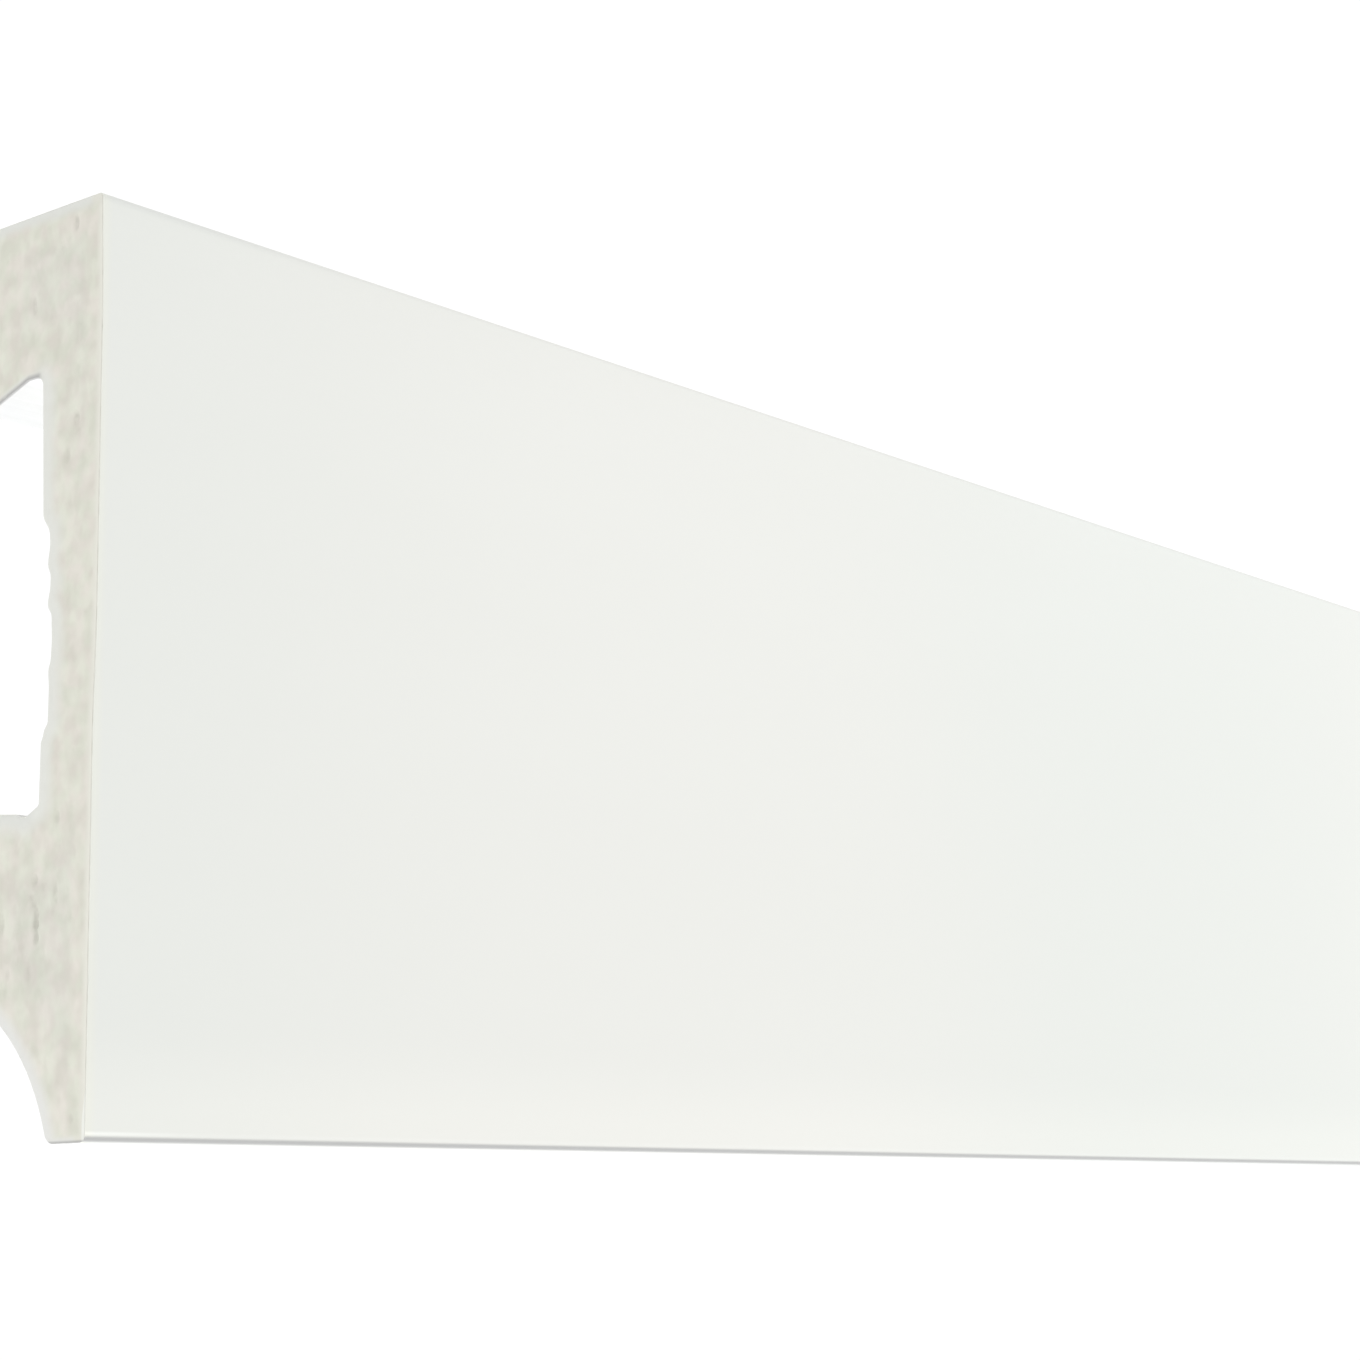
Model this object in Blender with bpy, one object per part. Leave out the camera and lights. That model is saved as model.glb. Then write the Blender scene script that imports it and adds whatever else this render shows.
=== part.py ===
"""Skirting board: one extruded rigid foam moulding with a hard white coat on its front.

The board runs along X. Its front face looks along -Y and its back meets a wall at Y = 0,
on two flat lands above and below an open cable channel. The origin is on the lower land,
halfway along the board, where it is glued to the wall.
"""

import math

import bmesh
import bpy
from mathutils import Matrix, Vector

# Sizes in metres. Depths run back from the front face, heights run up from the floor.
BOARD_LENGTH = 1.000
BOARD_HEIGHT = 0.100
BOARD_DEPTH = 0.020

# The solid head, above the channel. Its underside climbs from the wall to the web.
UPPER_LAND_HEIGHT = 0.0211
CEILING_SLOPE = math.radians(19)
CEILING_FILLET = 0.0016

# The web, behind the front face, tapers a little towards the floor.
WEB_TOP_THICKNESS = 0.0096
WEB_BOTTOM_THICKNESS = 0.0087

# A shallow recess runs along the back of the web, with splayed edges.
RECESS_DEPTH = 0.0013
RECESS_SPLAY = 0.0020
RECESS_BELOW_CEILING = 0.0155
RECESS_ABOVE_FLOOR = 0.0075

# The solid base, under the channel. Its top falls from the wall to the web.
LOWER_LAND_BOTTOM = 0.0160
LOWER_LAND_TOP = 0.0350
CHANNEL_FLOOR_SLOPE = math.radians(5)
CHANNEL_FLOOR_FILLET = 0.0010

# The hollow cove between the lower land and the narrow foot.
FOOT_WIDTH = 0.0062
FOOT_RADIUS = 0.0010
COVE_HOLLOW = 0.0022
COVE_STEPS = 16

# Small rounding of the edges, and the number of facets on each.
FRONT_ARRIS = 0.0006
LAND_ARRIS = 0.0005
ARRIS_STEPS = 5
SHARP_EDGE_ANGLE = math.radians(30)

# The coat covers the long sides and the foam shows at the two cut ends.
COAT_SLOT = 0
COAT_COLOUR = (0.82, 0.84, 0.80, 1.0)
COAT_ROUGHNESS = 0.38
FOAM_SLOT = 1
FOAM_COLOUR = (0.72, 0.70, 0.62, 1.0)
FOAM_ROUGHNESS = 0.92


def clear_scene():
    for item in list(bpy.data.objects):
        bpy.data.objects.remove(item, do_unlink=True)


def add_material(name, colour, roughness):
    material = bpy.data.materials.new(name)
    material.use_nodes = True
    shader = material.node_tree.nodes["Principled BSDF"]
    shader.inputs["Base Color"].default_value = colour
    shader.inputs["Roughness"].default_value = roughness
    shader.inputs["Metallic"].default_value = 0.0
    return material


def channel_corners():
    """The open cable channel, from its ceiling's edge at the wall round to its floor's."""
    ceiling_at_wall = BOARD_HEIGHT - UPPER_LAND_HEIGHT
    ceiling_reach = BOARD_DEPTH - WEB_TOP_THICKNESS
    ceiling_at_web = ceiling_at_wall + ceiling_reach * math.tan(CEILING_SLOPE)
    floor_reach = BOARD_DEPTH - WEB_BOTTOM_THICKNESS
    floor_at_web = LOWER_LAND_TOP - floor_reach * math.tan(CHANNEL_FLOOR_SLOPE)
    taper = (WEB_TOP_THICKNESS - WEB_BOTTOM_THICKNESS) / (ceiling_at_web - floor_at_web)

    def web_corner(height, recess, radius):
        thickness = WEB_BOTTOM_THICKNESS + taper * (height - floor_at_web)
        return (thickness - recess, height, radius)

    recess_top = ceiling_at_wall - RECESS_BELOW_CEILING
    recess_bottom = LOWER_LAND_TOP + RECESS_ABOVE_FLOOR
    return [
        (BOARD_DEPTH, ceiling_at_wall, LAND_ARRIS),
        web_corner(ceiling_at_web, 0.0, CEILING_FILLET),
        web_corner(recess_top + RECESS_SPLAY, 0.0, LAND_ARRIS),
        web_corner(recess_top, RECESS_DEPTH, LAND_ARRIS),
        web_corner(recess_bottom, RECESS_DEPTH, LAND_ARRIS),
        web_corner(recess_bottom - RECESS_SPLAY, 0.0, LAND_ARRIS),
        web_corner(floor_at_web, 0.0, CHANNEL_FLOOR_FILLET),
        (BOARD_DEPTH, LOWER_LAND_TOP, LAND_ARRIS),
    ]


def cove_points():
    """Points inside the cove's arc, from the lower land down to the foot."""
    top = Vector((BOARD_DEPTH, LOWER_LAND_BOTTOM))
    foot = Vector((FOOT_WIDTH, 0.0))
    chord = foot - top
    radius = (chord.length_squared / 4 + COVE_HOLLOW ** 2) / (2 * COVE_HOLLOW)
    towards_wall = Vector((-chord.y, chord.x)).normalized()
    centre = (top + foot) / 2 + towards_wall * (radius - COVE_HOLLOW)
    turn = 2 * math.asin(chord.length / (2 * radius))
    points = []
    for step in range(1, COVE_STEPS):
        swing = Matrix.Rotation(turn * step / COVE_STEPS, 2)
        points.append(centre + swing @ (top - centre))
    return points


def section_corners():
    """The whole cross-section as (depth, height, radius), up the front and down the back."""
    corners = [
        (0.0, 0.0, FRONT_ARRIS),
        (0.0, BOARD_HEIGHT, FRONT_ARRIS),
        (BOARD_DEPTH, BOARD_HEIGHT, LAND_ARRIS),
    ]
    corners += channel_corners()
    corners.append((BOARD_DEPTH, LOWER_LAND_BOTTOM, LAND_ARRIS))
    corners += [(point.x, point.y, 0.0) for point in cove_points()]
    corners.append((FOOT_WIDTH, 0.0, FOOT_RADIUS))
    return corners


def round_corner(previous, corner, following, radius):
    """The arc that rounds one corner, no longer than half of either side."""
    back = previous - corner
    ahead = following - corner
    half_angle = back.angle(ahead) / 2
    reach = min(radius / math.tan(half_angle), back.length / 2, ahead.length / 2)
    fitted_radius = reach * math.tan(half_angle)
    inward = (back.normalized() + ahead.normalized()).normalized()
    centre = corner + inward * fitted_radius / math.sin(half_angle)
    start = corner + back.normalized() * reach - centre
    finish = corner + ahead.normalized() * reach - centre
    turn = -start.angle_signed(finish)
    points = []
    for step in range(ARRIS_STEPS + 1):
        swing = Matrix.Rotation(turn * step / ARRIS_STEPS, 2)
        points.append(centre + swing @ start)
    return points


def section_outline():
    """The cross-section's points, with each corner rounded."""
    corners = section_corners()
    places = [Vector((depth, height)) for depth, height, radius in corners]
    radii = [radius for depth, height, radius in corners]
    outline = []
    for index, radius in enumerate(radii):
        if radius == 0.0:
            outline.append(places[index])
            continue
        following = places[(index + 1) % len(places)]
        outline += round_corner(places[index - 1], places[index], following, radius)
    return outline


def add_board():
    """The cross-section extruded along the board, with its origin on the lower land."""
    mount_height = (LOWER_LAND_BOTTOM + LOWER_LAND_TOP) / 2
    body = bmesh.new()
    ring = []
    for point in section_outline():
        place = (-BOARD_LENGTH / 2, point.x - BOARD_DEPTH, point.y - mount_height)
        ring.append(body.verts.new(place))
    end_face = body.faces.new(ring)
    extruded = bmesh.ops.extrude_face_region(body, geom=[end_face])
    far_end = [part for part in extruded["geom"] if isinstance(part, bmesh.types.BMVert)]
    bmesh.ops.translate(body, verts=far_end, vec=(BOARD_LENGTH, 0.0, 0.0))
    bmesh.ops.recalc_face_normals(body, faces=body.faces)
    for face in body.faces:
        is_side = len(face.verts) == 4
        face.material_index = COAT_SLOT if is_side else FOAM_SLOT

    mesh = bpy.data.meshes.new("skirting_board")
    body.to_mesh(mesh)
    body.free()
    mesh.materials.append(add_material("white_coat", COAT_COLOUR, COAT_ROUGHNESS))
    mesh.materials.append(add_material("cut_foam", FOAM_COLOUR, FOAM_ROUGHNESS))
    mesh.shade_smooth()
    mesh.set_sharp_from_angle(angle=SHARP_EDGE_ANGLE)
    board = bpy.data.objects.new("skirting_board", mesh)
    bpy.context.collection.objects.link(board)


def main():
    clear_scene()
    add_board()


main()
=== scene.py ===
"""Skirting board: a length of white-coated foam moulding, sawn square, seen from its left end.

Lengths are in metres. A place on the cross-section is given as a depth, back from the front
face, and a height, up from the floor line, as on the solid that the board replaces.
"""

import math

import bmesh
import bpy
import numpy as np
from mathutils import Matrix, Vector


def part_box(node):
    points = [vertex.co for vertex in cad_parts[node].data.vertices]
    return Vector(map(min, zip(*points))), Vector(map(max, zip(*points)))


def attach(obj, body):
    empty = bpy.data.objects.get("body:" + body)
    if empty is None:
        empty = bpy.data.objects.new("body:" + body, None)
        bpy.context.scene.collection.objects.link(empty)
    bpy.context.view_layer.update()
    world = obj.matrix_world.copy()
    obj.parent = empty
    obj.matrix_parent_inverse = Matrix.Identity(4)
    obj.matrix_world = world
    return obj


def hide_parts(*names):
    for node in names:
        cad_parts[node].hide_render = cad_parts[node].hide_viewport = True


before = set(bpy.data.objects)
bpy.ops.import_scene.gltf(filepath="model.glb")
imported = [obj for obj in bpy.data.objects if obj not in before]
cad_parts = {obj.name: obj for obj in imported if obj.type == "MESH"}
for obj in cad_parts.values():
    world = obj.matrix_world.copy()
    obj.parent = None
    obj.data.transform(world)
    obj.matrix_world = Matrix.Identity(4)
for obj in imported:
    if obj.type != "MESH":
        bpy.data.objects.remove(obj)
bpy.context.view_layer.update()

LOW, HIGH = (Vector(corner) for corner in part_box("skirting_board"))
LENGTH = HIGH.x - LOW.x
DEPTH = HIGH.y - LOW.y
HEIGHT = HIGH.z - LOW.z

MM = 0.001

# The cross-section. Its outside has the sizes of the solid, and its channel follows the
# photograph a little closer.
UPPER_LAND_HEIGHT = 0.0211
CEILING_SLOPE = math.radians(19)
CEILING_FLAT = 0.0024
CEILING_BEND = 0.0008
CEILING_FILLET = 0.0011
WEB_TOP_THICKNESS = 0.0098
LOWER_LAND_BOTTOM = 0.0160
LOWER_LAND_TOP = 0.0352
FOOT_WIDTH = 0.0062
FOOT_RADIUS = 0.0014
FOOT_ARRIS = 0.0008
COVE_HOLLOW = 0.0025
COVE_STEPS = 16
FRONT_ARRIS = 0.0006
LAND_ARRIS = 0.0005
ARRIS_STEPS = 5
CEILING_AT_WALL = HEIGHT - UPPER_LAND_HEIGHT
CEILING_RUN = DEPTH - WEB_TOP_THICKNESS - CEILING_FLAT
CEILING_TOP = CEILING_AT_WALL + CEILING_RUN * math.tan(CEILING_SLOPE)

# The web's back from the top down, as heights and thicknesses in millimetres: a shallow recess
# with the low ridges that the die leaves in it. Then the groove in the channel's floor.
WEB_BACK = (
    (66.2, 9.24),
    (63.9, 8.06),
    (62.8, 8.00),
    (60.7, 8.27),
    (59.2, 7.81),
    (58.3, 7.81),
    (56.3, 8.18),
    (54.9, 7.50),
    (52.0, 7.34),
    (50.4, 7.38),
    (49.1, 7.70),
    (47.0, 7.48),
    (43.7, 7.44),
    (42.6, 8.05),
    (41.2, 8.54),
)
WEB_BACK_STEPS = 4
WEB_FOOT = (8.58, 35.0)
FLOOR_GROOVE = ((10.7, 33.95), (11.4, 34.00), (12.2, 34.42))
GROOVE_FILLET = 0.0004

# The steady cut runs round the board just inside each end, so that the rounded edge doesn't
# tilt the shading of the long faces. The saw wandered in from square.
SAWN_ARRIS = 0.00012
SAWN_ARRIS_STEPS = 2
GRID_DEPTH_STEP = 0.0002
GRID_HEIGHT_STEP = 0.00035
STRIP_HEIGHT = 0.0035
STEADY_CUT = 0.0012
SAW_WANDER = 0.00027
SAW_WANDER_HEIGHT = 0.071
SAW_WANDER_REACH = 0.014
SAW_WANDER_MIDDLE = 0.016

# Two points closer than this are one point. A face looks along an axis if more than this much
# of its normal does. Edges are shaded smooth up to this angle.
SAME_POINT = 1e-6
FACING = 0.9
SMOOTH_ANGLE = math.radians(35)

# The foam's relief on the sawn ends. Slots that show in the left end are given in millimetres
# as depth, height, half length and strength; smaller pits are scattered over both ends, each
# with a half width, a half height and a strength between two limits.
END_ZONE = 0.002
PIT_DEPTH = 0.00025
SLOT_HALF_WIDTH = 0.00045
LEFT_END_SLOTS = (
    (4.4, 97.6, 0.9, 0.70),
    (6.5, 95.3, 0.6, 0.35),
    (11.4, 89.8, 1.2, 0.50),
    (4.2, 88.8, 0.6, 0.30),
    (3.7, 81.3, 0.8, 0.30),
    (4.0, 75.9, 0.8, 0.75),
    (5.3, 72.2, 1.0, 0.40),
    (5.4, 33.4, 0.7, 0.50),
    (8.8, 27.2, 0.6, 0.65),
    (9.3, 25.5, 0.4, 0.45),
    (8.9, 24.7, 0.5, 0.60),
    (8.5, 23.7, 0.7, 0.75),
    (8.6, 22.6, 0.7, 1.00),
    (8.5, 21.2, 0.8, 0.80),
    (5.5, 25.3, 1.6, 0.50),
    (12.0, 24.4, 0.7, 0.30),
    (14.1, 23.0, 1.4, 0.45),
    (9.5, 17.7, 0.9, 0.45),
    (13.0, 17.7, 0.7, 0.40),
    (2.3, 2.6, 0.6, 0.40),
)
PIT_COUNT = 110
LEFT_PITS_SEED = 3
RIGHT_PITS_SEED = 8
PIT_SMALLEST = (0.00020, 0.0002, 0.08)
PIT_LARGEST = (0.00045, 0.0007, 0.28)
SLIGHTEST_WEIGHT = 0.01
RELIEF_FADE = 0.0005

# The grain of the foam and the crumbled rim, with sizes in millimetres. The grain's texture is
# never brighter than the level given, which stays in place, so that relief only sinks.
GRAIN_SIZE = 1.1
GRAIN_DETAIL = 3
GRAIN_DEPTH = 0.00007
GRAIN_BRIGHTEST = 1.3
CRUMB_SIZE = 1.6
CRUMB_DEPTH = 0.0002

# The foam's skin: how deep it is full and where it ends, how many times thinner it is along
# some sides, how far the shade under the upper edges reaches, where the skin behind the front
# is warm, how low the cove's skin is full, and from how deep the foam counts as thick.
SKIN_FULL = 0.0005
SKIN_END = 0.0030
SKIN_WAVER = 0.0012
FRONT_SKIN_SHRINK = 2.4
CEILING_SKIN_SHRINK = 2.5
TOP_SKIN_SHRINK = 1.7
COVE_SKIN_SHRINK = 1.3
FOOT_SKIN_SHRINK = 3.0
EDGE_SHADE_FULL = 0.0006
EDGE_SHADE_END = 0.0018
WARM_SKIN_FULL = 0.0014
WARM_SKIN_END = 0.0022
COVE_SKIN_TOP = 0.0128
THICK_START = 0.0050
THICK_FULL = 0.0090

# Patterns of noise, as the size of their features in metres, how many times longer these are
# along each axis, detail and roughness. Their values lie round a middle.
NOISE_MIDDLE = 0.5
EVEN = (1, 1, 1)
DRIFT_WANDER = (0.05, (2, 1, 1), 2.0, 0.5)
GLOSS_PATCHES = (0.02, (4, 1, 1), 2.0, 0.5)
COAT_GRAIN = (0.0008, (1.5, 1, 1), 2.0, 0.5)
MOTTLE = (0.0023, (1, 1, 1.1), 2.0, 0.45)
TINT_PATCHES = (0.0022, EVEN, 1.0, 0.5)
STREAKS = (0.0012, (1, 1, 1.5), 0.0, 0.5)
RAGGED_PITS = (0.0009, EVEN, 1.0, 0.5)
SKIN_WAVES = (0.0022, EVEN, 2.0, 0.5)
SAWN_GRAIN = (0.0005, EVEN, 3.0, 0.5)
DIE_LINES = (0.0009, (400, 1, 1), 3.0, 0.5)
SKIN_BLOTCHES = (0.012, (3, 1, 1), 3.0, 0.5)
SKIN_PIMPLES = (0.0012, (6, 1, 1), 3.0, 0.5)

# How much of a pattern's range goes from one colour to the next.
MOTTLE_RANGE = (0.34, 0.66)
TINT_RANGE = (0.36, 0.64)
STREAK_RANGE = (0.56, 0.80)
RAGGED_RANGE = (0.30, 0.60)
SOFT_RANGE = (0.3, 0.7)

# Colours, in linear light, and finishes. The coat's tint drifts slowly along the board; it is
# paler at the foot, as painted light, and at the sawn edge, as a painted highlight, and greyer
# on the top arris, most of all near the end, as painted shade.
COAT_ROUGHNESS = 0.40
COAT_GLOSS_SPREAD = 0.03
COAT_GRAIN_DEPTH = 0.000004
COAT_COOL = (0.815, 0.834, 0.790)
COAT_WARM = (0.846, 0.848, 0.804)
COAT_DRIFT_PERIOD = 0.28
COAT_DRIFT_CREST = -0.41
COAT_FOOT_PAINTED_LIGHT = (1.045, 1.040, 1.035)
FOOT_PALE_TOP = 0.0130
FOOT_PALE_FULL = 0.0020
ARRIS_PAINTED_SHADE = (0.945, 0.945, 0.952)
ARRIS_PALE = 0.0012
ARRIS_GREY = 0.0005
ARRIS_GREY_REACH = 0.055
ARRIS_GREY_SHARE = 0.10
COAT_SAW_HIGHLIGHT = (1.025, 1.018, 0.985)
SAW_HIGHLIGHT_WIDTH = 0.0014

# The coat's own cut edge, which is thicker at the foot.
COAT_EDGE = (0.780, 0.790, 0.735)
COAT_THICKNESS = 0.00005
COAT_THICKNESS_AT_FOOT = 0.00055
THICK_COAT_TOP = 0.0060
THICK_COAT_FULL = 0.0018

# The sawn foam. Pits are painted darker the deeper they are, as painted shade, with ragged
# edges, and the rim just under the upper edges is painted lighter, as a painted highlight.
FOAM_ROUGHNESS = 0.95
SAWN_GRAIN_DEPTH = 0.00003
SAWN_GRAIN_STRENGTH = 0.25
FOAM_DARK = (0.648, 0.640, 0.566)
FOAM_PALE = (0.728, 0.719, 0.643)
FOAM_GREENISH = (0.979, 1.000, 0.978)
FOAM_PINKISH = (1.000, 0.973, 0.985)
FOAM_THICK = (0.962, 0.965, 0.972)
FOAM_STREAK = (0.560, 0.550, 0.480)
STREAK_SHADE = 0.22
FOAM_PIT_SHADE = (0.470, 0.465, 0.410)
PIT_SHADE = 0.62
PIT_SHADE_START = 0.05
RAGGED_STRENGTH = (0.55, 1.15)
FOAM_SKIN = (0.717, 0.724, 0.681)
SKIN_IN_FRONT = (0.727, 0.720, 0.650)
SKIN_AT_COVE = (1.018, 1.010, 1.033)
EDGE_SHADE = (0.955, 0.957, 0.960)
UPPER_RIM_HIGHLIGHT = (1.080, 1.080, 1.095)
UPPER_RIM_HIGHLIGHT_REACH = 0.00020

# The closed skin behind, with faint lines along the board.
SKIN_ROUGHNESS = 0.70
SKIN_GRAIN_DEPTH = 0.00006
SKIN_GRAIN_STRENGTH = 0.6
SKIN_DARK = (0.745, 0.752, 0.738)
SKIN_PALE = (0.800, 0.806, 0.792)
SKIN_WARM = (1.000, 0.990, 0.970)

# Painted shade as grey lines: along the foot's front edge, along the bottom of the sawn foam,
# and under the head's ceiling at the saw cut. Above the foot's line the coat has a thin painted
# highlight, which is brightest near the saw cut. Lines and highlight are bounded by two heights
# above the floor line.
PAINTED_SHADE_GREY = (0.440, 0.438, 0.425)
FOOT_SHADE_GREY = (0.500, 0.500, 0.490)
FOOT_SHADE_LINE = (0.00012, 0.00063)
FOAM_SHADE_LINE = (-0.00100, 0.00028)
LINE_BLUR = 0.00018
FOOT_SHADE_REACH = 0.0012
FOOT_HIGHLIGHT_LINE = (0.00080, 0.00110)
FOOT_HIGHLIGHT_NEAR_SAW = (1.160, 1.160, 1.170)
FOOT_HIGHLIGHT_BEYOND = (1.020, 1.020, 1.025)
FOOT_HIGHLIGHT_REACH = 0.016
CEILING_SHADE_FULL = 0.00022
CEILING_SHADE_END = 0.00080
CEILING_SHADE_REACH = 0.0003

# The white light from all round and the white background, then the soft lights as name, place,
# what they face, size, power and colour.
AROUND_STRENGTH = 0.891
BACKGROUND_STRENGTH = 1.05
WHITE = (1.0, 1.0, 1.0)
NEUTRAL, COOL, COOLER = WHITE, (0.98, 1.0, 1.04), (0.98, 1.0, 1.10)
SOFT_LIGHTS = (
    ("soft_low_left", (-1.10, 0.15, -0.45), (-0.50, 0, 0.03), 0.8, 2.173, NEUTRAL),
    ("soft_far_right", (0.60, -1.20, 0.30), (-0.30, 0, 0.02), 1.0, 2.145, COOL),
    ("soft_near_right", (0.00, -0.25, 0.25), (-0.22, 0, 0.04), 0.25, 0.139, COOL),
    ("soft_low_right", (0.30, -0.35, -0.35), (-0.30, 0, 0.00), 0.5, 0.469, COOL),
    ("soft_low_middle", (-0.10, -0.40, -0.40), (-0.20, 0, 0.00), 0.4, 0.287, COOL),
    ("soft_low_behind", (-0.45, 0.35, -0.55), (-0.45, 0, 0.04), 0.5, 2.509, COOLER),
    ("soft_other_end", (1.30, 0.00, 0.15), (0.50, 0, 0.02), 0.6, 1.197, NEUTRAL),
)

# Material slots of the board.
COAT, FOAM, SKIN = range(3)

# The camera stands left of the end, below the board's foot, and looks up along it.
CAMERA_PLACE = Vector((-0.69087, -0.25309, -0.03638))
CAMERA_HEADING = math.radians(39.136)
CAMERA_RISE = math.radians(10.888)
CAMERA_ROLL = math.radians(-1.095)
CAMERA_LENS = 77.402
CAMERA_SENSOR = 36.0
CAMERA_NEAREST = 0.01

# The floor lies well below the board, and ends where the photograph's view doesn't reach it.
FLOOR_DROP = 1.00
FLOOR_RADIUS = 18.0
FLOOR_SIDES = 96
FLOOR_COLOUR = (0.86, 0.86, 0.86)
FLOOR_ROUGHNESS = 0.9


def on_section(depth, height):
    """The point of the left end at this depth and height."""
    return Vector((LOW.x, LOW.y + depth, LOW.z + height))


def deselect_all():
    """Deselects every object, so that the next one is worked on alone."""
    bpy.ops.object.select_all(action="DESELECT")


def select(board, kind, test):
    """In edit mode, selects only the verts, edges or faces that pass a test."""
    mesh = bmesh.from_edit_mesh(board.data)
    bpy.ops.mesh.select_mode(type={"verts": "VERT", "edges": "EDGE", "faces": "FACE"}[kind])
    bpy.ops.mesh.select_all(action="DESELECT")
    for part in getattr(mesh, kind):
        part.select_set(test(part))
    mesh.select_flush_mode()
    bmesh.update_edit_mesh(board.data)


def web_back_corners():
    """The web's back, from the top of its recess down, eased from each height to the next."""
    corners = []
    for (height, thickness), (next_height, next_thickness) in zip(WEB_BACK, WEB_BACK[1:]):
        for step in range(WEB_BACK_STEPS):
            share = step / WEB_BACK_STEPS
            eased = (1 - math.cos(math.pi * share)) / 2
            depth = thickness + (next_thickness - thickness) * eased
            corners.append((depth * MM, (height + (next_height - height) * share) * MM, 0.0))
    return corners


def channel_corners():
    """The open cable channel, from its ceiling's edge at the wall round to its floor's."""
    floor = [(depth * MM, height * MM, GROOVE_FILLET) for depth, height in (WEB_FOOT, *FLOOR_GROOVE)]
    return [
        (DEPTH, CEILING_AT_WALL, LAND_ARRIS),
        (WEB_TOP_THICKNESS + CEILING_FLAT, CEILING_TOP, CEILING_BEND),
        (WEB_TOP_THICKNESS, CEILING_TOP, CEILING_FILLET),
        *web_back_corners(),
        *floor,
        (DEPTH, LOWER_LAND_TOP, LAND_ARRIS),
    ]


def cove_corners():
    """The cove's arc, from the lower land down to the foot."""
    top = Vector((DEPTH, LOWER_LAND_BOTTOM))
    foot = Vector((FOOT_WIDTH, 0.0))
    chord = foot - top
    radius = (chord.length_squared / 4 + COVE_HOLLOW ** 2) / (2 * COVE_HOLLOW)
    towards_wall = Vector((-chord.y, chord.x)).normalized()
    centre = (top + foot) / 2 + towards_wall * (radius - COVE_HOLLOW)
    turn = 2 * math.asin(chord.length / (2 * radius))
    corners = []
    for step in range(1, COVE_STEPS):
        swing = Matrix.Rotation(turn * step / COVE_STEPS, 2)
        point = centre + swing @ (top - centre)
        corners.append((point.x, point.y, 0.0))
    return corners


def section_corners():
    """The whole cross-section as (depth, height, radius), up the front and down the back."""
    return [
        (0.0, 0.0, FOOT_ARRIS),
        (0.0, HEIGHT, FRONT_ARRIS),
        (DEPTH, HEIGHT, LAND_ARRIS),
        *channel_corners(),
        (DEPTH, LOWER_LAND_BOTTOM, LAND_ARRIS),
        *cove_corners(),
        (FOOT_WIDTH, 0.0, FOOT_RADIUS),
    ]


def draw_section():
    """Draws the cross-section at the left end, point by point, fills it and rounds it."""
    corners = section_corners()
    places = [on_section(depth, height) for depth, height, radius in corners]
    deselect_all()
    bpy.ops.mesh.primitive_plane_add(size=SAWN_ARRIS, location=places[0])
    board = bpy.context.object
    board.name = "coated_skirting_board"
    bpy.ops.object.transform_apply(location=True, rotation=True, scale=True)
    bpy.ops.object.mode_set(mode="EDIT")
    bpy.ops.mesh.select_mode(type="VERT")
    bpy.ops.mesh.select_all(action="SELECT")
    bpy.ops.mesh.merge(type="CENTER")
    for before, after in zip(places, places[1:]):
        bpy.ops.mesh.extrude_region_move(TRANSFORM_OT_translate={"value": after - before})
    ends = (places[0], places[-1])
    select(board, "verts", lambda vert: min((vert.co - end).length for end in ends) < SAME_POINT)
    bpy.ops.mesh.edge_face_add()
    bpy.ops.mesh.select_all(action="SELECT")
    bpy.ops.mesh.edge_face_add()
    for index, (depth, height, radius) in enumerate(corners):
        if radius > 0.0:
            corner = places[index]
            back = places[index - 1] - corner
            ahead = places[(index + 1) % len(places)] - corner
            reach = radius / math.tan(back.angle(ahead) / 2)
            select(board, "verts", lambda vert: (vert.co - corner).length < SAME_POINT)
            bpy.ops.mesh.bevel(offset=reach, segments=ARRIS_STEPS, affect="VERTICES",
                               clamp_overlap=True)
    return board


def at_left(point):
    """Whether a point lies in the plane of the left end."""
    return abs(point.co.x - LOW.x) < SAME_POINT


def at_right(point):
    """Whether a point lies in the plane of the right end."""
    return abs(point.co.x - HIGH.x) < SAME_POINT


def run_out():
    """Extrudes the section, which is in edit mode, to the board's length."""
    bpy.ops.mesh.select_mode(type="FACE")
    bpy.ops.mesh.select_all(action="SELECT")
    bpy.ops.mesh.extrude_region_move(TRANSFORM_OT_translate={"value": (LENGTH, 0.0, 0.0)})
    bpy.ops.mesh.select_all(action="SELECT")
    bpy.ops.mesh.normals_make_consistent(inside=False)


def outline_segments(board):
    """The two ends of each straight piece of the section's outline, as depths and heights."""
    mesh = bmesh.from_edit_mesh(board.data)
    rims = [edge for edge in mesh.edges if all(at_left(vert) for vert in edge.verts)]
    return np.array([[vert.co.yz for vert in edge.verts] for edge in rims])


def paint_slots(board):
    """Gives each side its material slot: coat in front and on top, foam at the ends, skin behind."""
    mesh = bmesh.from_edit_mesh(board.data)
    for face in mesh.faces:
        if abs(face.normal.x) > FACING:
            face.material_index = FOAM
        elif face.calc_center_median().y < LOW.y + FOOT_ARRIS or face.normal.z > FACING:
            face.material_index = COAT
        else:
            face.material_index = SKIN
    bmesh.update_edit_mesh(board.data)


def long_cuts():
    """The planes that cut the board in strips along it, and round it just inside each end."""
    up, along_board = Vector((0, 0, 1)), Vector((1, 0, 0))
    planes = [(on_section(0, index * STRIP_HEIGHT), up)
              for index in range(1, round(HEIGHT / STRIP_HEIGHT))]
    planes.append((along_board * (LOW.x + STEADY_CUT), along_board))
    planes.append((along_board * (HIGH.x - STEADY_CUT), along_board))
    return planes


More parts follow.
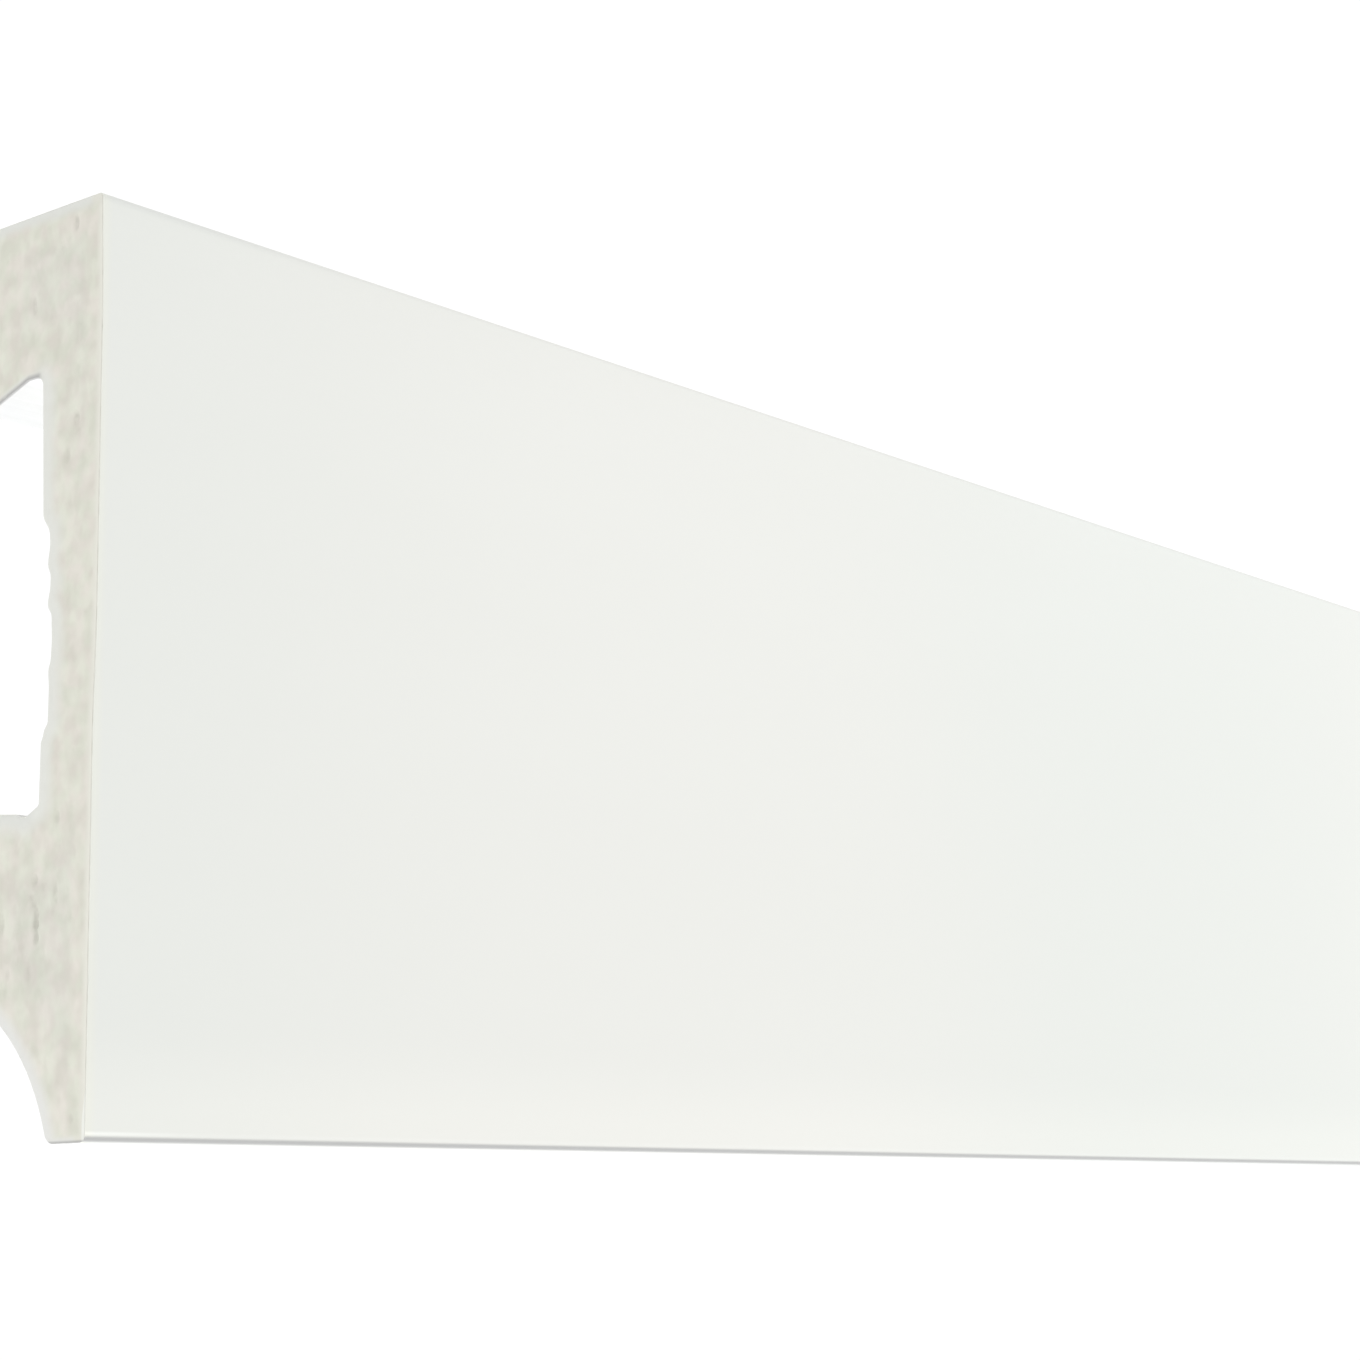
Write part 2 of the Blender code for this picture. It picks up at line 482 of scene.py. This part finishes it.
def end_cuts():
    """The planes that cut the sawn ends alone in a fine grid."""
    coarser = 1
    height_step = GRID_HEIGHT_STEP * coarser
    depth_step = GRID_DEPTH_STEP * coarser
    up, back = Vector((0, 0, 1)), Vector((0, 1, 0))
    planes = [(on_section(0, index * height_step), up)
              for index in range(1, round(HEIGHT / height_step))]
    planes += [(on_section(index * depth_step, 0), back)
               for index in range(1, round(DEPTH / depth_step))]
    return planes


def at_end_rim(edge):
    """Whether an edge runs round the rim of a sawn end, between foam and a long side."""
    slots = {face.material_index == FOAM for face in edge.link_faces}
    at_one_end = all(at_left(vert) or at_right(vert) for vert in edge.verts)
    return at_one_end and len(slots) == 2


def cut_ends(board):
    """Makes the long cuts, rounds the sawn edges a little and cuts the ends in their grid."""
    for place, normal in long_cuts():
        bpy.ops.mesh.select_all(action="SELECT")
        bpy.ops.mesh.bisect(plane_co=place, plane_no=normal)
    select(board, "edges", at_end_rim)
    bpy.ops.mesh.bevel(offset=SAWN_ARRIS, segments=SAWN_ARRIS_STEPS, clamp_overlap=False)
    board.active_material_index = FOAM
    for place, normal in end_cuts():
        bpy.ops.mesh.select_all(action="DESELECT")
        bpy.ops.object.material_slot_select()
        bpy.ops.mesh.bisect(plane_co=place, plane_no=normal)


def curve_saw_cut(board):
    """Pushes the middle of each sawn end in a little, where the saw wandered from square."""
    for end, height, way in ((LOW.x, SAW_WANDER_HEIGHT, 1), (HIGH.x, HEIGHT - SAW_WANDER_HEIGHT, -1)):
        middle = LOW.z + height
        select(board, "verts", lambda vert: abs(vert.co.x - end) < SAWN_ARRIS * 2
               and abs(vert.co.z - middle) < SAW_WANDER_MIDDLE)
        bpy.ops.transform.translate(value=(way * SAW_WANDER, 0, 0), use_proportional_edit=True,
                                    proportional_edit_falloff="SMOOTH",
                                    proportional_size=SAW_WANDER_REACH)


def skin_shrink(depth, height):
    """How many times thinner the foam's skin is at a place of the outline than behind the web."""
    if depth < FRONT_ARRIS:
        return FRONT_SKIN_SHRINK
    if height > HEIGHT - FRONT_ARRIS:
        return TOP_SKIN_SHRINK
    if height < FOOT_RADIUS / 2:
        return FOOT_SKIN_SHRINK
    if height < LOWER_LAND_BOTTOM:
        return COVE_SKIN_SHRINK
    if WEB_TOP_THICKNESS < depth < DEPTH - LAND_ARRIS and height > HEIGHT / 2:
        return CEILING_SKIN_SHRINK
    return 1.0


def facing_up(depth, height):
    """1 on the top and the channel's floor, and elsewhere so much that it never is nearest."""
    on_floor = depth > WEB_TOP_THICKNESS and LOWER_LAND_BOTTOM < height < HEIGHT / 2
    on_top = height > HEIGHT - FRONT_ARRIS / 2
    return 1.0 if on_floor or on_top else 1 / MM


def distance_to_outline(points, segments, weight_at):
    """How far in from the outline each point of an end is, times a weight for each place of it."""
    nearest = np.full(len(points), DEPTH)
    for start, finish in segments:
        run = finish - start
        share = np.clip((points - start) @ run / (run @ run), 0, 1)
        distance = np.linalg.norm(points - start - share[:, None] * run, axis=1)
        depth, height = (start + finish) / 2 - (LOW.y, LOW.z)
        nearest = np.minimum(nearest, distance * weight_at(depth, height))
    return nearest


def pit_weights(points, pits):
    """How deep each point lies in the pits: 1 at the bottom of a full one, 0 outside them."""
    weights = np.zeros(len(points))
    for depth, height, half_width, half_height, strength in pits:
        across = (points[:, 0] - LOW.y - depth) / half_width
        up = (points[:, 1] - LOW.z - height) / half_height
        weights = np.maximum(weights, strength * np.exp(-(across ** 2 + up ** 2) ** 2))
    return weights


def scattered_pits(count, seed):
    """Small upright pits over a whole end, at random places with random sizes."""
    chance = np.random.default_rng(seed)
    low = (0.0, 0.0, *PIT_SMALLEST)
    high = (DEPTH, HEIGHT, *PIT_LARGEST)
    return [tuple(row) for row in chance.uniform(low, high, (count, len(low)))]


def board_points(board):
    """The places of all the board's points, one row for each."""
    count = len(board.data.vertices)
    places = np.empty(count * 3)
    board.data.vertices.foreach_get("co", places)
    return places.reshape(count, 3)


def points_of_foam(board):
    """Which of the board's points belong to a face of sawn foam."""
    chosen = np.zeros(len(board.data.vertices), dtype=bool)
    for face in board.data.polygons:
        if face.material_index == FOAM:
            chosen[list(face.vertices)] = True
    return chosen


def pits_of_ends(places):
    """How deep each point lies in the slots and pits of its own end."""
    points = places[:, 1:]
    slots = [(depth * MM, height * MM, SLOT_HALF_WIDTH, half_height * MM, strength)
             for depth, height, half_height, strength in LEFT_END_SLOTS]
    left = pit_weights(points, slots + scattered_pits(PIT_COUNT, LEFT_PITS_SEED))
    right = pit_weights(points, scattered_pits(PIT_COUNT, RIGHT_PITS_SEED))
    on_left = abs(places[:, 0] - LOW.x) < END_ZONE
    on_right = abs(places[:, 0] - HIGH.x) < END_ZONE
    return left * on_left + right * on_right


def paint_relief(board, segments):
    """Paints where the relief goes, as vertex groups, and what the materials read, as attributes."""
    places = board_points(board)
    points = places[:, 1:]
    on_foam = points_of_foam(board)
    distance = distance_to_outline(points, segments, skin_shrink)
    below_top = distance_to_outline(points, segments, facing_up)
    inside = np.clip((distance - SAWN_ARRIS) / RELIEF_FADE, 0, 1) * on_foam
    rim = np.clip(1 - distance / SAWN_ARRIS / 2, 0, 1) * on_foam
    pits = pits_of_ends(places) * inside
    for name, values in {"pits": pits, "grain": inside, "rim": rim}.items():
        group = board.vertex_groups.new(name=name)
        for index in np.nonzero(values > SLIGHTEST_WEIGHT)[0]:
            group.add([int(index)], float(values[index]), "REPLACE")
    for name, values in {"inward": distance, "pit_depth": pits, "below_top": below_top}.items():
        layer = board.data.attributes.new(name, "FLOAT", "POINT")
        layer.data.foreach_set("value", values)


def displace(board, group, depth, stays=0.0, texture=None, guide=None):
    """Applies one layer of relief where a group is painted. The level that stays isn't moved."""
    layer = board.modifiers.new(group, "DISPLACE")
    layer.strength = depth
    layer.mid_level = stays
    layer.vertex_group = group
    layer.direction = "NORMAL"
    if texture:
        layer.texture = texture
        layer.texture_coords = "OBJECT"
        layer.texture_coords_object = guide
    bpy.context.view_layer.objects.active = board
    bpy.ops.object.modifier_apply(modifier=layer.name)


def roughen_ends(board):
    """Turns the painted groups into relief, sized in millimetres by a guide that then goes."""
    bpy.ops.object.empty_add(location=(0, 0, 0))
    guide = bpy.context.object
    guide.scale = (MM, MM, MM)
    bpy.context.view_layer.update()
    grain = bpy.data.textures.new("grain", "CLOUDS")
    grain.noise_scale = GRAIN_SIZE
    grain.noise_depth = GRAIN_DETAIL
    crumbs = bpy.data.textures.new("crumbs", "CLOUDS")
    crumbs.noise_scale = CRUMB_SIZE
    displace(board, "pits", -PIT_DEPTH)
    displace(board, "grain", GRAIN_DEPTH, GRAIN_BRIGHTEST, grain, guide)
    displace(board, "rim", -CRUMB_DEPTH, 0.0, crumbs, guide)
    bpy.data.objects.remove(guide)


def new_material(name, roughness):
    """A material with its node tree, and the shader at its end."""
    material = bpy.data.materials.new(name)
    material.use_nodes = True
    shader = material.node_tree.nodes["Principled BSDF"]
    shader.inputs["Roughness"].default_value = roughness
    return material, material.node_tree, shader


def add(tree, kind, **settings):
    """Adds a node. Settings are its properties, or its sockets' values by number."""
    node = tree.nodes.new(kind)
    for name, value in settings.items():
        if name.startswith("in_"):
            node.inputs[int(name[3:])].default_value = value
        else:
            setattr(node, name, value)
    return node


def noise(tree, pattern):
    """One of the patterns of noise, in the board's own coordinates."""
    size, stretch, detail, roughness = pattern
    place = add(tree, "ShaderNodeTexCoord")
    scale = [1 / (size * way) for way in stretch]
    mapping = add(tree, "ShaderNodeMapping", in_3=scale)
    cloud = add(tree, "ShaderNodeTexNoise", in_2=1.0, in_3=detail, in_4=roughness)
    tree.links.new(place.outputs["Object"], mapping.inputs["Vector"])
    tree.links.new(mapping.outputs["Vector"], cloud.inputs["Vector"])
    return cloud.outputs["Fac"]


def ramp(tree, value, bounds, low_colour, high_colour):
    """A colour that goes from one to another as a value goes from its low to its high bound."""
    node = add(tree, "ShaderNodeValToRGB")
    for element, position, colour in zip(node.color_ramp.elements, bounds, (low_colour, high_colour)):
        element.position = position
        element.color = (*colour, 1)
    tree.links.new(value, node.inputs["Fac"])
    return node.outputs["Color"]


def stepped(tree, value, low, high, low_result=0.0, high_result=1.0):
    """A number that goes smoothly from one to another as a value goes from low to high."""
    node = add(tree, "ShaderNodeMapRange", interpolation_type="SMOOTHSTEP", in_1=low, in_2=high,
               in_3=low_result, in_4=high_result)
    tree.links.new(value, node.inputs["Value"])
    return node.outputs["Result"]


def mixed(tree, factor, first, second, blend="MIX"):
    """Two colours mixed. A colour is a socket or three numbers, a factor a socket or a number."""
    node = add(tree, "ShaderNodeMix", data_type="RGBA", blend_type=blend)
    for socket, value in ((node.inputs[0], factor), (node.inputs[6], first), (node.inputs[7], second)):
        if isinstance(value, bpy.types.NodeSocket):
            tree.links.new(value, socket)
        else:
            socket.default_value = value if isinstance(value, float) else (*value, 1)
    return node.outputs[2]


def summed(tree, first, second, operation="ADD"):
    """Two numbers put together. Each is a socket or a number."""
    node = add(tree, "ShaderNodeMath", operation=operation)
    for socket, value in zip(node.inputs, (first, second)):
        if isinstance(value, bpy.types.NodeSocket):
            tree.links.new(value, socket)
        else:
            socket.default_value = value
    return node.outputs[0]


def along(tree, axis):
    """The board's own coordinate along an axis, in metres."""
    place = add(tree, "ShaderNodeTexCoord")
    split = add(tree, "ShaderNodeSeparateXYZ")
    tree.links.new(place.outputs["Object"], split.inputs[0])
    return split.outputs[axis]


def attribute(tree, name):
    """A value painted on the board's points."""
    return add(tree, "ShaderNodeAttribute", attribute_name=name).outputs["Fac"]


def bump(tree, shader, height, distance, strength=1.0):
    """Fine relief from a height, this deep in metres."""
    node = add(tree, "ShaderNodeBump", in_0=strength, in_1=distance)
    tree.links.new(height, node.inputs["Height"])
    tree.links.new(node.outputs["Normal"], shader.inputs["Normal"])


def from_low(tree, axis, low):
    """How far a point lies along an axis from the board's low corner, in metres."""
    return summed(tree, along(tree, axis), low, "SUBTRACT")


def tinted(tree, factor, colour, tint):
    """A colour multiplied by a tint where a factor says so."""
    return mixed(tree, factor, colour, mixed(tree, 1.0, colour, tint, "MULTIPLY"))


def near_saw_cut(tree, reach):
    """1 at the two sawn ends, and 0 further along the board than this reach."""
    from_middle = summed(tree, along(tree, "X"), 0.0, "ABSOLUTE")
    return stepped(tree, from_middle, LENGTH / 2 - SAW_WANDER - reach, LENGTH / 2 - SAW_WANDER)


def between(tree, value, bounds):
    """1 where a value lies between two bounds, softened by the blur of the painted shade lines and
    highlight.
    """
    low, high = bounds
    above = stepped(tree, value, low - LINE_BLUR, low + LINE_BLUR)
    below = stepped(tree, value, high - LINE_BLUR, high + LINE_BLUR, 1.0, 0.0)
    return summed(tree, above, below, "MULTIPLY")


def with_foot_shade_line(tree, colour):
    """A colour that turns to grey along the front edge of the foot, as painted shade."""
    line = between(tree, from_low(tree, "Z", LOW.z), FOOT_SHADE_LINE)
    in_front = stepped(tree, from_low(tree, "Y", LOW.y), FOOT_SHADE_REACH, FOOT_SHADE_REACH * 2, 1.0, 0.0)
    return mixed(tree, summed(tree, line, in_front, "MULTIPLY"), colour, FOOT_SHADE_GREY)


def with_ceiling_shade_line(tree, colour):
    """A colour that turns to grey along the ceiling of the channel at the saw cut, as painted shade."""
    depth = from_low(tree, "Y", LOW.y)
    height = from_low(tree, "Z", LOW.z)
    from_wall = summed(tree, DEPTH, depth, "SUBTRACT")
    rise = summed(tree, from_wall, math.tan(CEILING_SLOPE), "MULTIPLY")
    ceiling = summed(tree, summed(tree, rise, CEILING_AT_WALL), CEILING_TOP, "MINIMUM")
    above = summed(tree, summed(tree, height, ceiling, "SUBTRACT"), 0.0, "ABSOLUTE")
    # Painted shade: a grey line along the ceiling's edge, only near the saw cut.
    line = stepped(tree, above, CEILING_SHADE_FULL, CEILING_SHADE_END, 1.0, 0.0)
    behind_web = stepped(tree, depth, WEB_TOP_THICKNESS, WEB_TOP_THICKNESS + CEILING_SHADE_END)
    line = summed(tree, line, behind_web, "MULTIPLY")
    line = summed(tree, line, near_saw_cut(tree, CEILING_SHADE_REACH), "MULTIPLY")
    return mixed(tree, line, colour, PAINTED_SHADE_GREY)


def white_coat():
    """Satin white coat: its tint drifts along the board, with painted light at the foot, painted
    highlights at the saw cut and above the foot's line, and painted shade on the top arris and along
    the foot.
    """
    material, tree, shader = new_material("white_coat", COAT_ROUGHNESS)
    turn = 2 * math.pi / COAT_DRIFT_PERIOD
    angle = summed(tree, summed(tree, along(tree, "X"), COAT_DRIFT_CREST, "SUBTRACT"), turn, "MULTIPLY")
    wander = summed(tree, noise(tree, DRIFT_WANDER), NOISE_MIDDLE, "SUBTRACT")
    drift = summed(tree, summed(tree, angle, 0.0, "COSINE"), wander)
    colour = ramp(tree, stepped(tree, drift, -1.0, 1.0), (0.0, 1.0), COAT_COOL, COAT_WARM)
    height = from_low(tree, "Z", LOW.z)
    # Painted light: the coat is painted paler towards the foot.
    low = stepped(tree, height, FOOT_PALE_FULL, FOOT_PALE_TOP, 1.0, 0.0)
    colour = tinted(tree, low, colour, COAT_FOOT_PAINTED_LIGHT)
    # Painted highlight along the sawn edge of the coat.
    colour = tinted(tree, near_saw_cut(tree, SAW_HIGHLIGHT_WIDTH), colour, COAT_SAW_HIGHLIGHT)
    # A thin painted highlight above the foot's grey line, brightest near the saw cut.
    foot_highlight = mixed(tree, near_saw_cut(tree, FOOT_HIGHLIGHT_REACH), FOOT_HIGHLIGHT_BEYOND, FOOT_HIGHLIGHT_NEAR_SAW)
    foot_highlight = mixed(tree, 1.0, colour, foot_highlight, "MULTIPLY")
    colour = mixed(tree, between(tree, height, FOOT_HIGHLIGHT_LINE), colour, foot_highlight)
    # Painted shade on the top front arris, strongest near the saw cut.
    high = stepped(tree, height, HEIGHT - ARRIS_PALE, HEIGHT - ARRIS_GREY)
    forward = stepped(tree, from_low(tree, "Y", LOW.y), FRONT_ARRIS, FRONT_ARRIS * 2, 1.0, 0.0)
    grey = stepped(tree, near_saw_cut(tree, ARRIS_GREY_REACH), 0.0, 1.0, ARRIS_GREY_SHARE, 1.0)
    arris_shade = summed(tree, summed(tree, high, forward, "MULTIPLY"), grey, "MULTIPLY")
    colour = tinted(tree, arris_shade, colour, ARRIS_PAINTED_SHADE)
    # Painted shade: the grey line along the foot's front edge.
    tree.links.new(with_foot_shade_line(tree, colour), shader.inputs["Base Color"])
    gloss = stepped(tree, noise(tree, GLOSS_PATCHES), *SOFT_RANGE, COAT_ROUGHNESS - COAT_GLOSS_SPREAD,
                    COAT_ROUGHNESS + COAT_GLOSS_SPREAD)
    tree.links.new(gloss, shader.inputs["Roughness"])
    bump(tree, shader, noise(tree, COAT_GRAIN), COAT_GRAIN_DEPTH)
    return material


def foam_core(tree):
    """The foam's mottled colour away from its skin: blotches, tints, streaks and painted shade in the
    pits.
    """
    colour = ramp(tree, noise(tree, MOTTLE), MOTTLE_RANGE, FOAM_DARK, FOAM_PALE)
    tint = ramp(tree, noise(tree, TINT_PATCHES), TINT_RANGE, FOAM_GREENISH, FOAM_PINKISH)
    colour = mixed(tree, 1.0, colour, tint, "MULTIPLY")
    thick = stepped(tree, attribute(tree, "inward"), THICK_START, THICK_FULL)
    colour = tinted(tree, thick, colour, FOAM_THICK)
    streak = stepped(tree, noise(tree, STREAKS), *STREAK_RANGE, 0.0, STREAK_SHADE)
    colour = mixed(tree, streak, colour, FOAM_STREAK)
    # Painted shade in the pits: the deeper a pit, the darker, with ragged edges.
    ragged = stepped(tree, noise(tree, RAGGED_PITS), *RAGGED_RANGE, *RAGGED_STRENGTH)
    pits = summed(tree, attribute(tree, "pit_depth"), ragged, "MULTIPLY")
    pits = stepped(tree, pits, PIT_SHADE_START, 1.0, 0.0, PIT_SHADE)
    return mixed(tree, pits, colour, FOAM_PIT_SHADE)


def sawn_foam():
    """Sawn rigid foam: warm grey-white, paler and cooler towards the skin, with the coat's edge."""
    material, tree, shader = new_material("sawn_foam", FOAM_ROUGHNESS)
    waver = summed(tree, noise(tree, SKIN_WAVES), NOISE_MIDDLE, "SUBTRACT")
    waver = summed(tree, waver, SKIN_WAVER, "MULTIPLY")
    inward = summed(tree, attribute(tree, "inward"), waver)
    skin = stepped(tree, inward, SKIN_FULL, SKIN_END, 1.0, 0.0)
    depth = from_low(tree, "Y", LOW.y)
    height = from_low(tree, "Z", LOW.z)
    at_cove = stepped(tree, height, COVE_SKIN_TOP, LOWER_LAND_BOTTOM, 1.0, 0.0)
    skin_colour = tinted(tree, at_cove, FOAM_SKIN, SKIN_AT_COVE)
    in_front = stepped(tree, depth, WARM_SKIN_FULL, WARM_SKIN_END, 1.0, 0.0)
    skin_colour = mixed(tree, in_front, skin_colour, SKIN_IN_FRONT)
    colour = mixed(tree, skin, foam_core(tree), skin_colour)
    shade = stepped(tree, attribute(tree, "below_top"), EDGE_SHADE_FULL, EDGE_SHADE_END, 1.0, 0.0)
    colour = tinted(tree, shade, colour, EDGE_SHADE)
    # Painted highlight on the rim just under the upper edges.
    rim = stepped(tree, attribute(tree, "below_top"), 0.0, UPPER_RIM_HIGHLIGHT_REACH, 1.0, 0.0)
    colour = tinted(tree, rim, colour, UPPER_RIM_HIGHLIGHT)
    thickness = stepped(tree, height, THICK_COAT_FULL, THICK_COAT_TOP, COAT_THICKNESS_AT_FOOT,
                        COAT_THICKNESS)
    past_coat = summed(tree, depth, thickness, "SUBTRACT")
    coat = stepped(tree, past_coat, -COAT_THICKNESS, COAT_THICKNESS, 1.0, 0.0)
    colour = mixed(tree, coat, colour, COAT_EDGE)
    # Painted shade: a grey line along the bottom of the sawn foam, and the grey line under the
    # channel's ceiling at the saw cut.
    colour = mixed(tree, between(tree, height, FOAM_SHADE_LINE), with_ceiling_shade_line(tree, colour), PAINTED_SHADE_GREY)
    tree.links.new(colour, shader.inputs["Base Color"])
    bump(tree, shader, noise(tree, SAWN_GRAIN), SAWN_GRAIN_DEPTH, SAWN_GRAIN_STRENGTH)
    return material


def foam_skin():
    """The closed skin behind: cool grey-white, with faint die lines along the board."""
    material, tree, shader = new_material("foam_skin", SKIN_ROUGHNESS)
    lines = noise(tree, DIE_LINES)
    shade = ramp(tree, lines, SOFT_RANGE, SKIN_DARK, SKIN_PALE)
    patch = ramp(tree, noise(tree, SKIN_BLOTCHES), SOFT_RANGE, SKIN_WARM, WHITE)
    colour = mixed(tree, 1.0, shade, patch, "MULTIPLY")
    # Painted shade: grey lines under the channel's ceiling at the saw cut and along the foot's front
    # edge.
    colour = with_foot_shade_line(tree, with_ceiling_shade_line(tree, colour))
    tree.links.new(colour, shader.inputs["Base Color"])
    rough = summed(tree, lines, noise(tree, SKIN_PIMPLES))
    bump(tree, shader, rough, SKIN_GRAIN_DEPTH, SKIN_GRAIN_STRENGTH)
    return material


def model_board():
    """The whole board: section, length, materials, cuts, relief and shading."""
    board = draw_section()
    run_out()
    for material in (white_coat(), sawn_foam(), foam_skin()):
        board.data.materials.append(material)
    segments = outline_segments(board)
    paint_slots(board)
    cut_ends(board)
    curve_saw_cut(board)
    bpy.ops.object.mode_set(mode="OBJECT")
    paint_relief(board, segments)
    roughen_ends(board)
    deselect_all()
    board.select_set(True)
    bpy.ops.object.shade_smooth_by_angle(angle=SMOOTH_ANGLE)
    return board


def lay_floor():
    """A plain pale floor, well below the board, because the camera looks up from under it."""
    deselect_all()
    bpy.ops.mesh.primitive_circle_add(vertices=FLOOR_SIDES, radius=FLOOR_RADIUS, fill_type="NGON",
                                      location=(0, 0, LOW.z - FLOOR_DROP))
    floor = bpy.context.object
    floor.name = "studio_floor"
    material, tree, shader = new_material("pale_floor", FLOOR_ROUGHNESS)
    shader.inputs["Base Color"].default_value = (*FLOOR_COLOUR, 1)
    floor.data.materials.append(material)
    return floor


def light_studio():
    """A white studio: the plain background is white, and the light comes softly from all round."""
    world = bpy.data.worlds.new("studio")
    world.use_nodes = True
    bpy.context.scene.world = world
    tree = world.node_tree
    shown = tree.nodes["Background"]
    shown.inputs["Color"].default_value = (*WHITE, 1)
    shown.inputs["Strength"].default_value = BACKGROUND_STRENGTH
    lighting = add(tree, "ShaderNodeBackground", in_0=(*WHITE, 1), in_1=AROUND_STRENGTH)
    rays = add(tree, "ShaderNodeLightPath")
    mix = add(tree, "ShaderNodeMixShader")
    tree.links.new(rays.outputs["Is Camera Ray"], mix.inputs[0])
    tree.links.new(lighting.outputs[0], mix.inputs[1])
    tree.links.new(shown.outputs[0], mix.inputs[2])
    tree.links.new(mix.outputs[0], tree.nodes["World Output"].inputs["Surface"])
    for name, place, target, size, power, colour in SOFT_LIGHTS:
        bpy.ops.object.light_add(type="AREA", location=place)
        light = bpy.context.object
        light.name = name
        light.data.shape = "SQUARE"
        light.data.size = size
        light.data.energy = power
        light.data.color = colour
        light.rotation_euler = (Vector(target) - Vector(place)).to_track_quat("-Z", "Y").to_euler()
        light.visible_camera = False


def set_camera():
    """The photograph's view: from the left end, just below the foot, looking up along the board."""
    camera_data = bpy.data.cameras.new("camera")
    camera_data.sensor_width = CAMERA_SENSOR
    camera_data.lens = CAMERA_LENS
    camera_data.clip_start = CAMERA_NEAREST
    camera = bpy.data.objects.new("camera", camera_data)
    bpy.context.collection.objects.link(camera)
    heading = Matrix.Rotation(CAMERA_HEADING - math.pi / 2, 4, "Z")
    rise = Matrix.Rotation(math.pi / 2 + CAMERA_RISE, 4, "X")
    roll = Matrix.Rotation(CAMERA_ROLL, 4, "Z")
    camera.matrix_world = Matrix.Translation(CAMERA_PLACE) @ heading @ rise @ roll
    bpy.context.scene.camera = camera


set_camera()
board = model_board()
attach(board, "root")
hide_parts("skirting_board")
lay_floor()
light_studio()
bpy.context.scene.view_settings.view_transform = "Standard"
